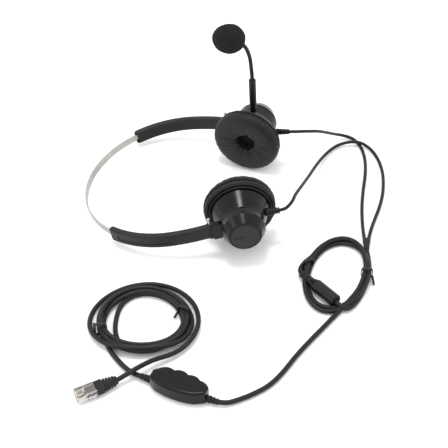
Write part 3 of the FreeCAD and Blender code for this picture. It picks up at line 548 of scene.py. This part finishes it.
def scrim(cup):
    """Disc whose middle stands proud: height = rise * (1 - (r / r_edge) ** 2) millimetres.

    The grid's first half is the front, from the middle to the edge; the second is the back.
    """
    outward = np.linspace(0.3, SCRIM_RADIUS, SCRIM_RINGS)
    inward = np.linspace(SCRIM_RADIUS, 0.3, SCRIM_RINGS)
    radius = np.concatenate([outward, inward])
    front = np.arange(2 * SCRIM_RINGS) < SCRIM_RINGS
    lift = SCRIM_RISE * (1 - (radius / SCRIM_RADIUS) ** 2) * np.where(front, 1, 0.6)
    out = SCRIM_OUT - lift + np.where(front, 0, SCRIM_THICK)
    turn = np.linspace(0, 2 * np.pi, SCRIM_TURNS, endpoint=False)
    grid = cup.points(np.repeat(radius[:, None], SCRIM_TURNS, 1),
                      np.tile(turn, (2 * SCRIM_RINGS, 1)),
                      np.repeat(out[:, None], SCRIM_TURNS, 1))
    piece = surface(f"{cup.side}_scrim_cloth", grid)
    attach(piece, f"{cup.side}_cup")
    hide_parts(f"{cup.side}_scrim")
    return piece


scrims = [scrim(cup) for cup in CUPS.values()]

# %% [markdown]
# The windscreen is a foam egg pulled over the microphone. Its long axis is the longest
# direction of the design's solid. Slow bumps keep the outline from being a perfect ball, and
# the pores are left to the finish.
# %% Foam windscreen
FOAM_ACROSS, FOAM_ALONG, FOAM_BLUNT = 12.1, 14, 0.05
FOAM_ROWS, FOAM_TURNS = 90, 140
FOAM_WAVE, FOAM_FINE = 0.006, 0.0016
NECK_ENTRY = (43.6, 47.5, 126.5)
DIMPLE_RADIUS, DIMPLE_DEPTH, DIMPLE_WIDTH = 12.5, 1.3, 3.6


def windscreen():
    """Egg r = r0 * (1 + small waves) on a grid of turn and tilt, with a dimple at the neck."""
    centre = middle("windscreen")
    longest = np.linalg.svd(corners("windscreen") - centre, full_matrices=False)[2][0]
    if longest[1] > 0:
        longest = -longest
    side = unit(np.cross(longest, (0, 0, 1)))
    up = np.cross(side, longest)
    tilt = np.linspace(0.02, np.pi - 0.02, FOAM_ROWS)[:, None]
    turn = np.linspace(0, 2 * np.pi, FOAM_TURNS, endpoint=False)[None]
    wave = (np.sin(3 * turn + 2 * tilt) * np.sin(tilt) + np.sin(5 * turn - 4 * tilt + 1)
            * np.sin(tilt) + np.sin(7 * tilt + 2 * turn)) * FOAM_WAVE
    chance = np.random.default_rng(5)
    fine = chance.normal(0, 1, (FOAM_ROWS, FOAM_TURNS))
    fine = (fine + np.roll(fine, 1, 1) + np.roll(fine, -1, 1)) * np.sin(tilt) * FOAM_FINE
    size = 1 + wave + fine
    blunt = 1 + FOAM_BLUNT * np.cos(tilt)
    spot = (FOAM_ACROSS * np.sin(tilt) * np.cos(turn) * size * blunt)[..., None] * side
    spot = spot + (FOAM_ACROSS * np.sin(tilt) * np.sin(turn) * size * blunt)[..., None] * up
    spot = spot + (FOAM_ALONG * np.cos(tilt) * size)[..., None] * longest
    grid = centre + spot * MM
    toward_neck = unit(np.array(NECK_ENTRY) * MM - centre)
    gap = np.linalg.norm(grid - (centre + toward_neck * DIMPLE_RADIUS * MM), axis=-1)
    dimple = DIMPLE_DEPTH * MM * bump_near(gap, 0, DIMPLE_WIDTH * MM)
    grid = grid - unit(grid - centre) * dimple[..., None]
    piece = surface("foam_windscreen", grid)
    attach(piece, "mic")
    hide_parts("windscreen")
    return piece


foam = windscreen()

# %% [markdown]
# The gooseneck is a thin bendable arm in a rubber sleeve. It bends at its middle, and one skin
# covers both halves.
# %% Gooseneck
NECK_ROUTE = [
    (54.8, 57.6, 81.5), (54.6, 57.4, 86), (54.1, 56.9, 91.3), (53.4, 56, 98), (52.8, 55.1, 104),
    (51.2, 52.7, 112), (48.6, 49.8, 119.8), NECK_ENTRY, (39, 46.8, 129.4),
]
NECK_THICK, RIB_DEPTH, RIB_PITCH = 3.4, 0.02, 0.9
NECK_SIDE = (0.936, -0.352, 0.03)
neck_line = centre_line(NECK_ROUTE)
rib = 1 + RIB_DEPTH * np.cos(2 * np.pi * travelled(neck_line) / (RIB_PITCH * MM))
ribbed = oval(NECK_THICK, NECK_THICK, 2, 24)[None] * rib[:, None, None]
neck = surface("gooseneck_skin", swept(neck_line, ribbed, NECK_SIDE))
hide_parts("gooseneck_lower", "gooseneck_upper")
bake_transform(neck)

# %% [markdown]
# ## Finishes
# A finish is a small program of shader nodes. To write it as sums, a wire stands for one output
# socket: adding or multiplying wires adds the Math node that does it. Every other node comes
# from one method, which takes its kind, its settings and what goes into its sockets.
# %% Wires and finishes
class Wire:
    """Output socket of a node, used like a number."""

    def __init__(self, finish, socket):
        self.finish = finish
        self.socket = socket

    def made(self, operation, *terms):
        """Wire that leaves a new Math node fed by the terms."""
        return self.finish.node("ShaderNodeMath", {"operation": operation},
                                dict(enumerate(terms)))

    def capped(self):
        """The smaller of this wire and one."""
        return self.made("MINIMUM", self, 1.0)

    def __add__(self, other):
        return self.made("ADD", self, other)

    def __sub__(self, other):
        return self.made("SUBTRACT", self, other)

    def __rsub__(self, other):
        return self.made("SUBTRACT", other, self)

    def __mul__(self, other):
        return self.made("MULTIPLY", self, other)

    def __gt__(self, other):
        return self.made("GREATER_THAN", self, other)

    def __lt__(self, other):
        return self.made("LESS_THAN", self, other)

    __radd__ = __add__
    __rmul__ = __mul__


class Finish:
    """Material with a Principled shader. Sizes of patterns are in millimetres."""

    def __init__(self, name):
        self.material = bpy.data.materials.new(name)
        self.material.use_nodes = True
        self.tree = self.material.node_tree
        self.shader = self.tree.nodes["Principled BSDF"]
        self.place = self.node("ShaderNodeTexCoord", {}, {}, "Object")

    def node(self, kind, settings, sockets, output=0):
        """New node: settings first, then a value or a wire for each socket, then its output."""
        made = self.tree.nodes.new(kind)
        for name, value in settings.items():
            if name == "stops":
                for position, _ in value[1:-1]:
                    made.color_ramp.elements.new(position)
                for element, (position, colour) in zip(made.color_ramp.elements, value):
                    element.position = position
                    element.color = (*colour, 1)
            else:
                setattr(made, name, value)
        for name, value in sockets.items():
            if isinstance(value, Wire):
                self.tree.links.new(value.socket, made.inputs[name])
            else:
                made.inputs[name].default_value = value
        return Wire(self, made.outputs[output])

    def noise(self, size_mm, detail=3.0, place=None):
        """Soft noise from 0 to 1 with lumps of about that size."""
        return self.node("ShaderNodeTexNoise", {}, {
            "Vector": place or self.place, "Scale": 1000 / size_mm, "Detail": detail,
        })

    def cells(self, size_mm):
        """Distance to the nearest border between cells of about that size."""
        return self.node("ShaderNodeTexVoronoi", {"feature": "DISTANCE_TO_EDGE"}, {
            "Vector": self.place, "Scale": 1000 / size_mm,
        }, "Distance")

    def ramp(self, amount, *stops):
        """Colour that changes with an amount, between stops of place and colour."""
        return self.node("ShaderNodeValToRGB", {"stops": stops}, {"Fac": amount})

    def done(self, colour, roughness, height, depth_mm, **fixed):
        """Material with its colour, roughness and bumps, and sockets that are the same all over."""
        for name, value in (("Base Color", colour), ("Roughness", roughness)):
            if isinstance(value, Wire):
                self.tree.links.new(value.socket, self.shader.inputs[name])
            else:
                self.shader.inputs[name].default_value = value
        bump = self.node("ShaderNodeBump", {}, {
            "Height": height, "Distance": depth_mm * MM, "Strength": 1.0,
        })
        self.tree.links.new(bump.socket, self.shader.inputs["Normal"])
        for name, value in fixed.items():
            self.shader.inputs[name.replace("_", " ")].default_value = value
        return self.material


FINISHES = {}


def grey(level, warmth=0.0):
    """Neutral colour, slightly warmer or cooler."""
    return (level * (1 + warmth), level, level * (1 - warmth))


# %% [markdown]
# Black leatherette: a skin of small cells with fine creases between them, slightly browner and
# rougher in patches, with a soft sheen.
# %% Leatherette
make = Finish("leatherette")
cell = make.cells(0.75)
crease = (cell * 5).capped()
patch = make.noise(6)
height = crease * 0.7 + make.noise(0.35) * 0.3
FINISHES["leatherette"] = make.done(
    make.ramp(patch, (0.3, grey(0.005, 0.02)), (0.7, grey(0.009, 0.03))),
    0.38 + patch * 0.16 - crease * 0.05, height, 0.05, Specular_IOR_Level=0.25,
)

# %% [markdown]
# The housings are polished black plastic. Real ones are never quite flat, and they carry a
# little dust, so a slow wave bends the reflections and fine specks dull them.
# %% Glossy black plastic
make = Finish("gloss_black")
wave = make.noise(9, 1)
speck = make.noise(0.5, 2) > 0.71
FINISHES["gloss_black"] = make.done(
    make.ramp(speck * 0.5 + wave * 0.2, (0, grey(0.002)), (1, grey(0.006))),
    0.16 + wave * 0.08 + speck * 0.14, wave, 0.03, Specular_IOR_Level=0.22,
)

# %% [markdown]
# Arms, boom and connector have the fine spark-eroded grain of a textured mould: tiny even
# pits that break the shine into a soft satin.
# %% Textured and satin black plastic
for name, level, shine, size, depth in (
    ("arm_plastic", 0.009, 0.32, 0.28, 0.012),
    ("black_plastic", 0.004, 0.28, 0.35, 0.008),
    ("satin_grey", 0.016, 0.34, 0.22, 0.010),
):
    make = Finish(name)
    pits = make.noise(size, 2)
    hazy = make.noise(12, 2)
    FINISHES[name] = make.done(
        make.ramp(hazy, (0.25, grey(level * 0.85)), (0.75, grey(level * 1.15))),
        shine + pits * 0.10 + hazy * 0.06, pits, depth, Specular_IOR_Level=0.25,
    )

# %% [markdown]
# Cord jackets, strain reliefs and ties are soft plastics with no polish, a few scuffs that are
# slightly greyer, and a faint drawn texture.
# %% Soft plastics
for name, level, shine, size, depth in (
    ("cord_jacket", 0.007, 0.40, 0.5, 0.02),
    ("soft_rubber", 0.005, 0.46, 0.3, 0.02),
    ("tie_plastic", 0.012, 0.38, 0.6, 0.03),
):
    make = Finish(name)
    scuff = make.noise(3.5, 5)
    fine = make.noise(size, 3)
    FINISHES[name] = make.done(
        make.ramp(scuff, (0.35, grey(level)), (0.62, grey(level * 1.25)),
                  (0.8, grey(level * 1.7))),
        shine + scuff * 0.14, fine, depth, Specular_IOR_Level=0.25,
    )

# %% [markdown]
# Open-cell foam is a sponge of bubbles about half a millimetre across. Its pores are darkened with
# painted shade, the shade inside the holes, and the webs between them are slightly lighter.
# %% Foam and cloth
make = Finish("foam")
pore = make.cells(0.62)
web = 1 - (pore * 4).capped()
FINISHES["foam"] = make.done(
    # The colour is darker in the pores: painted shade where the webs are low.
    make.ramp(web * 0.7 + make.noise(0.8) * 0.3, (0.1, grey(0.003)), (0.8, grey(0.016))),
    0.9, web + make.noise(1.4) * 0.8, 0.35, Specular_IOR_Level=0.2,
)
make = Finish("black_cloth")
threads = [
    make.node("ShaderNodeTexWave", {"bands_direction": direction},
              {"Vector": make.place, "Scale": 700, "Distortion": 1.0, "Detail": 1.0}, "Fac")
    for direction in ("X", "Z")
]
weave = threads[0].made("MAXIMUM", *threads)
FINISHES["black_cloth"] = make.done(
    make.ramp(weave, (0.2, grey(0.002)), (0.9, grey(0.008))), 0.85, weave, 0.08,
    Specular_IOR_Level=0.2,
)

# %% [markdown]
# The headband is spring strip. Rolling leaves scratches that run along it, so the pattern
# changes quickly across its height and slowly along its length: noise on coordinates that are
# shrunk sideways. The screws, cans and contacts are plain metals with a slight cloud.
# %% Metals
make = Finish("spring_steel")
shrunk = make.node("ShaderNodeVectorMath", {"operation": "MULTIPLY"},
                   {0: make.place, 1: (0.03, 0.03, 1.0)})
scratch = make.noise(0.16, 4, shrunk)
cloud = make.noise(14, 2)
FINISHES["spring_steel"] = make.done(
    make.ramp(scratch * 0.5 + cloud * 0.5, (0.3, (0.30, 0.29, 0.27)),
              (0.7, (0.46, 0.445, 0.42))),
    0.22 + scratch * 0.16, scratch, 0.006, Metallic=1.0,
)
for name, colour, rough in (
    ("bright_steel", (0.52, 0.52, 0.51), 0.2), ("aluminium_can", (0.60, 0.61, 0.62), 0.28),
    ("gold_contact", (0.80, 0.56, 0.22), 0.18),
):
    make = Finish(name)
    cloud = make.noise(1.2, 3)
    dim = tuple(0.8 * part for part in colour)
    FINISHES[name] = make.done(
        make.ramp(cloud, (0.3, dim), (0.7, colour)), rough + cloud * 0.12, cloud, 0.01,
        Metallic=1.0,
    )

# %% [markdown]
# The plug is clear plastic with a slight warm cast; light goes through it, and faint flow marks
# from the mould bend what is seen behind. The board is green lacquer over glass cloth.
# %% Clear plastic and circuit board
make = Finish("clear_plastic")
flow = make.noise(2.5, 2)
FINISHES["clear_plastic"] = make.done(
    make.ramp(flow, (0.3, (0.62, 0.60, 0.57)), (0.7, (0.78, 0.76, 0.74))),
    0.06 + flow * 0.08, flow, 0.05, Transmission_Weight=0.92, IOR=1.45,
)
make = Finish("circuit_board")
tracks = make.cells(1.6) < 0.08
FINISHES["circuit_board"] = make.done(
    make.ramp(tracks * 1.0, (0, (0.01, 0.07, 0.03)), (1, (0.02, 0.16, 0.06))), 0.35,
    tracks * 1.0, 0.03,
)

# %% [markdown]
# Every design part names its material in the record, so its finish is found by that name. New
# pieces take theirs from a table that lists them under each finish.
# %% Give out the finishes
SLOT = {row["node"]: row["material_slot"] for row in frame["record"]["subparts"]}
for name, part in frame["nodes"].items():
    part.data.materials.clear()
    part.data.materials.append(FINISHES[SLOT[name]])
NEW = {
    "cord_jacket": [to_connector, from_connector, to_plug, splitter]
    + [piece for piece, _ in thin.values()],
    "tie_plastic": ties,
    "leatherette": cushions,
    "black_cloth": scrims,
    "foam": [foam],
    "soft_rubber": [neck],
}
for name, pieces in NEW.items():
    for piece in pieces:
        piece.data.materials.append(FINISHES[name])
print(len(FINISHES), "finishes on", len(SLOT), "parts")

# %% [markdown]
# ## Table and light
# A plain pale table and soft light from a studio: an even white surround does nearly all of it,
# a small soft lamp overhead draws the narrow highlights on the housings, and a weaker one at
# the left models the arms.
# %% Table
make = Finish("table")
tint = make.noise(60, 2)
white = make.done(make.ramp(tint, (0.3, grey(0.90)), (0.7, grey(0.93))), 0.55,
                  make.noise(2), 0.01)
TABLE_REACH, TABLE_TOP = 4.0, -0.0004
floor = bpy.data.meshes.new("table")
floor.from_pydata([(x * TABLE_REACH, y * TABLE_REACH, TABLE_TOP)
                   for x, y in ((-1, -1), (1, -1), (1, 1), (-1, 1))], [], [(0, 1, 2, 3)])
table = bpy.data.objects.new("table", floor)
scene.collection.objects.link(table)
floor.materials.append(white)

# %% Light
world = bpy.data.worlds.new("studio")
world.use_nodes = True
surround = world.node_tree.nodes["Background"]
surround.inputs["Color"].default_value = (1, 1, 1, 1)
surround.inputs["Strength"].default_value = 1.3
scene.world = world
# Name, place, the point it is aimed at, size in metres and power in watts.
LAMPS = [
    ("overhead", (-0.045, -0.01, 1.0), (0.045, -0.06, 0.04), 0.22, 4.0),
    ("left", (-1.1, -0.5, 0.7), (0.0, 0.0, 0.03), 0.6, 2.5),
]
for name, place, aim, size, power in LAMPS:
    light = bpy.data.lights.new(name, "AREA")
    light.size = size
    light.energy = power
    lamp = bpy.data.objects.new(name, light)
    lamp.location = place
    lamp.rotation_euler = (Vector(aim) - Vector(place)).to_track_quat("-Z", "Y").to_euler()
    scene.collection.objects.link(lamp)
